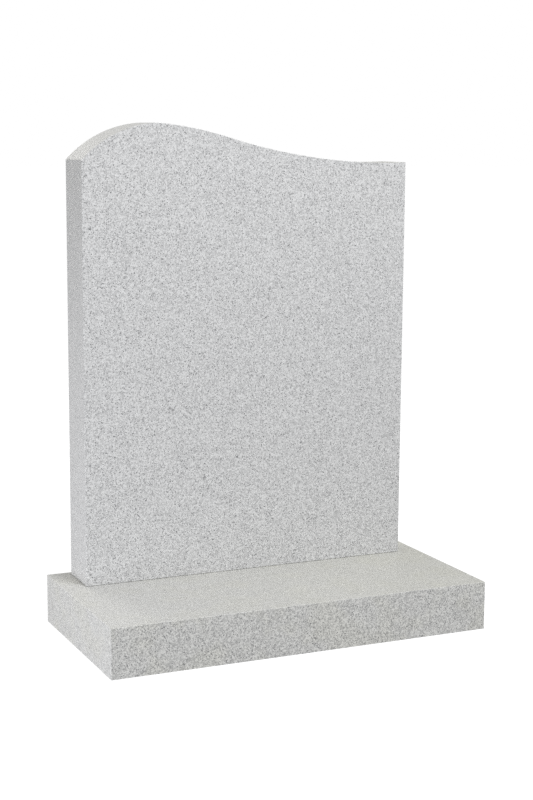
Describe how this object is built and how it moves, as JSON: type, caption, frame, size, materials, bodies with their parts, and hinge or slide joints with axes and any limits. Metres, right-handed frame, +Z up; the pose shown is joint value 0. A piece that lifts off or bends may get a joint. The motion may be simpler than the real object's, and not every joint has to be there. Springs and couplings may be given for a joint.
{
  "type": "upright headstone",
  "caption": "Upright grave headstone: a blank pale grey granite tablet with an off-centre ogee top, standing on a low rectangular base.",
  "frame": {"origin": "middle of the base's underside, on the ground it stands on", "axes": "+X to the right along the base as one faces the inscription side, +Y from that face to the back, +Z up"},
  "size_m": [0.61, 0.305, 0.7723],
  "materials": {
    "headstone_granite": "fine-rubbed, even light silver-grey granite with small dark mica specks",
    "base_granite": "fine-rubbed light silver-grey granite with small dark mica specks, slightly darker on its front"
  },
  "bodies": {
    "root": {"headstone": "headstone_granite", "base": "base_granite"}
  },
  "joints": []
}
